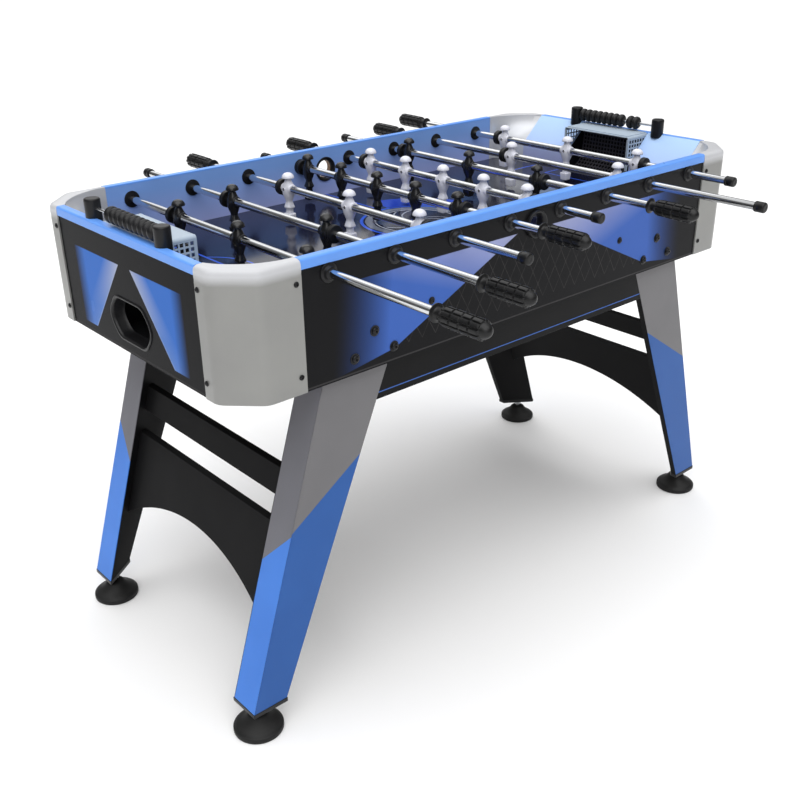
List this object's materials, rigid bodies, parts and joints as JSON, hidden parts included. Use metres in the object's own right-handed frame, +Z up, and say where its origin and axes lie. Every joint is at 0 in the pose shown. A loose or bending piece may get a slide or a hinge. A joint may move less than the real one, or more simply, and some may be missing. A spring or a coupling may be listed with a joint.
{
  "type": "foosball table",
  "caption": "Full size table football game: cabinet with sliding, spinning rods of players, goals, ball returns, bead scorers and splayed legs with leveling feet.",
  "frame": {"origin": "middle of the overall bounding box, on the floor", "axes": "+X along the table towards the right goal, +Y across it along the rods, away from the viewer, +Z up"},
  "size_m": [1.474, 1.3334, 0.962],
  "materials": {
    "black_board": "glossy black laminate with blue side graphics",
    "field_board": "high gloss dark blue playing surface with blue line markings",
    "raw_board": "plain board",
    "blue_wall": "smooth satin blue",
    "blue_trim": "satin light blue",
    "silver_plastic": "satin silver grey",
    "leg_board": "satin blue and silver with a black inner board",
    "black_plastic": "satin black moulded plastic",
    "grey_plastic": "matt light grey moulded plastic",
    "chrome": "polished chrome",
    "steel_black": "black zinc",
    "black_rubber": "matt black rubber",
    "black_team": "glossy black moulded plastic",
    "white_team": "glossy white moulded plastic"
  },
  "bodies": {
    "cabinet": {"side_panel_front": "black_board", "side_panel_rear": "black_board", "end_panel_left": "black_board", "end_panel_right": "black_board", "playfield": "field_board", "playfield_supports": "raw_board", "sloped_end_walls": "blue_wall", "top_rail_trims": "blue_trim", "corner_caps": "silver_plastic", "leg_front_left": "leg_board", "leg_front_right": "leg_board", "leg_rear_left": "leg_board", "leg_rear_right": "leg_board", "leg_end_caps": "black_plastic", "lower_aprons": "black_board", "end_braces": "black_board", "goal_boxes": "grey_plastic", "ball_cups": "black_plastic", "rod_bearings": "black_plastic", "scorer_stands": "black_plastic", "bolts_and_screws": "steel_black"},
    "rod_1_slider": {"rod_1_bumpers": "black_rubber"},
    "rod_1": {"rod_1_bar": "chrome", "rod_1_players": "black_team", "rod_1_grip_and_cap": "black_plastic"},
    "rod_2_slider": {"rod_2_bumpers": "black_rubber"},
    "rod_2": {"rod_2_bar": "chrome", "rod_2_players": "black_team", "rod_2_grip_and_cap": "black_plastic"},
    "rod_3_slider": {"rod_3_bumpers": "black_rubber"},
    "rod_3": {"rod_3_bar": "chrome", "rod_3_players": "white_team", "rod_3_grip_and_cap": "black_plastic"},
    "rod_4_slider": {"rod_4_bumpers": "black_rubber"},
    "rod_4": {"rod_4_bar": "chrome", "rod_4_players": "black_team", "rod_4_grip_and_cap": "black_plastic"},
    "rod_5_slider": {"rod_5_bumpers": "black_rubber"},
    "rod_5": {"rod_5_bar": "chrome", "rod_5_players": "white_team", "rod_5_grip_and_cap": "black_plastic"},
    "rod_6_slider": {"rod_6_bumpers": "black_rubber"},
    "rod_6": {"rod_6_bar": "chrome", "rod_6_players": "black_team", "rod_6_grip_and_cap": "black_plastic"},
    "rod_7_slider": {"rod_7_bumpers": "black_rubber"},
    "rod_7": {"rod_7_bar": "chrome", "rod_7_players": "white_team", "rod_7_grip_and_cap": "black_plastic"},
    "rod_8_slider": {"rod_8_bumpers": "black_rubber"},
    "rod_8": {"rod_8_bar": "chrome", "rod_8_players": "white_team", "rod_8_grip_and_cap": "black_plastic"},
    "left_score": {"scorer_beads_left": "black_plastic"},
    "right_score_eight": {"scorer_beads_right_eight": "black_plastic"},
    "right_score_pair": {"scorer_beads_right_pair": "black_plastic"},
    "foot_front_left": {"leveler_front_left": "black_plastic"},
    "foot_front_right": {"leveler_front_right": "black_plastic"},
    "foot_rear_left": {"leveler_rear_left": "black_plastic"},
    "foot_rear_right": {"leveler_rear_right": "black_plastic"}
  },
  "joints": [
    {"name": "rod_1_slide", "type": "slide", "parent": "cabinet", "child": "rod_1_slider", "axis": [0, 1, 0], "range_m": [-0.0094, 0.1614]},
    {"name": "rod_1_spin", "type": "hinge", "parent": "rod_1_slider", "child": "rod_1", "pos_m": [-0.50505, 0.034, 0.8926], "axis": [0, 1, 0], "continuous": true},
    {"name": "rod_2_slide", "type": "slide", "parent": "cabinet", "child": "rod_2_slider", "axis": [0, 1, 0], "range_m": [-0.1439, 0.1289]},
    {"name": "rod_2_spin", "type": "hinge", "parent": "rod_2_slider", "child": "rod_2", "pos_m": [-0.36075, 0.034, 0.8926], "axis": [0, 1, 0], "continuous": true},
    {"name": "rod_3_slide", "type": "slide", "parent": "cabinet", "child": "rod_3_slider", "axis": [0, 1, 0], "range_m": [-0.0484, 0.1224]},
    {"name": "rod_3_spin", "type": "hinge", "parent": "rod_3_slider", "child": "rod_3", "pos_m": [-0.21645, 0.034, 0.8926], "axis": [0, 1, 0], "continuous": true},
    {"name": "rod_4_slide", "type": "slide", "parent": "cabinet", "child": "rod_4_slider", "axis": [0, 1, 0], "range_m": [-0.0948, 0]},
    {"name": "rod_4_spin", "type": "hinge", "parent": "rod_4_slider", "child": "rod_4", "pos_m": [-0.07215, 0.034, 0.8926], "axis": [0, 1, 0], "continuous": true},
    {"name": "rod_5_slide", "type": "slide", "parent": "cabinet", "child": "rod_5_slider", "axis": [0, 1, 0], "range_m": [-0.0419, 0.0529]},
    {"name": "rod_5_spin", "type": "hinge", "parent": "rod_5_slider", "child": "rod_5", "pos_m": [0.07215, 0.034, 0.8926], "axis": [0, 1, 0], "continuous": true},
    {"name": "rod_6_slide", "type": "slide", "parent": "cabinet", "child": "rod_6_slider", "axis": [0, 1, 0], "range_m": [-0.1439, 0.0269]},
    {"name": "rod_6_spin", "type": "hinge", "parent": "rod_6_slider", "child": "rod_6", "pos_m": [0.21645, 0.034, 0.8926], "axis": [0, 1, 0], "continuous": true},
    {"name": "rod_7_slide", "type": "slide", "parent": "cabinet", "child": "rod_7_slider", "axis": [0, 1, 0], "range_m": [-0.0379, 0.2349]},
    {"name": "rod_7_spin", "type": "hinge", "parent": "rod_7_slider", "child": "rod_7", "pos_m": [0.36075, 0.034, 0.8926], "axis": [0, 1, 0], "continuous": true},
    {"name": "rod_8_slide", "type": "slide", "parent": "cabinet", "child": "rod_8_slider", "axis": [0, 1, 0], "range_m": [-0.0934, 0.0774]},
    {"name": "rod_8_spin", "type": "hinge", "parent": "rod_8_slider", "child": "rod_8", "pos_m": [0.50505, 0.034, 0.8926], "axis": [0, 1, 0], "continuous": true},
    {"name": "left_score_slide", "type": "slide", "parent": "cabinet", "child": "left_score", "axis": [0, 1, 0], "range_m": [0, 0.0514]},
    {"name": "right_score_eight_slide", "type": "slide", "parent": "cabinet", "child": "right_score_eight", "axis": [0, -1, 0], "range_m": [0, 0.0115]},
    {"name": "right_score_pair_slide", "type": "slide", "parent": "cabinet", "child": "right_score_pair", "axis": [0, -1, 0], "range_m": [0, 0.0396]},
    {"name": "foot_front_left_adjust", "type": "slide", "parent": "cabinet", "child": "foot_front_left", "axis": [0, 0, -1], "range_m": [0, 0.018]},
    {"name": "foot_front_right_adjust", "type": "slide", "parent": "cabinet", "child": "foot_front_right", "axis": [0, 0, -1], "range_m": [0, 0.018]},
    {"name": "foot_rear_left_adjust", "type": "slide", "parent": "cabinet", "child": "foot_rear_left", "axis": [0, 0, -1], "range_m": [0, 0.018]},
    {"name": "foot_rear_right_adjust", "type": "slide", "parent": "cabinet", "child": "foot_rear_right", "axis": [0, 0, -1], "range_m": [0, 0.018]}
  ]
}
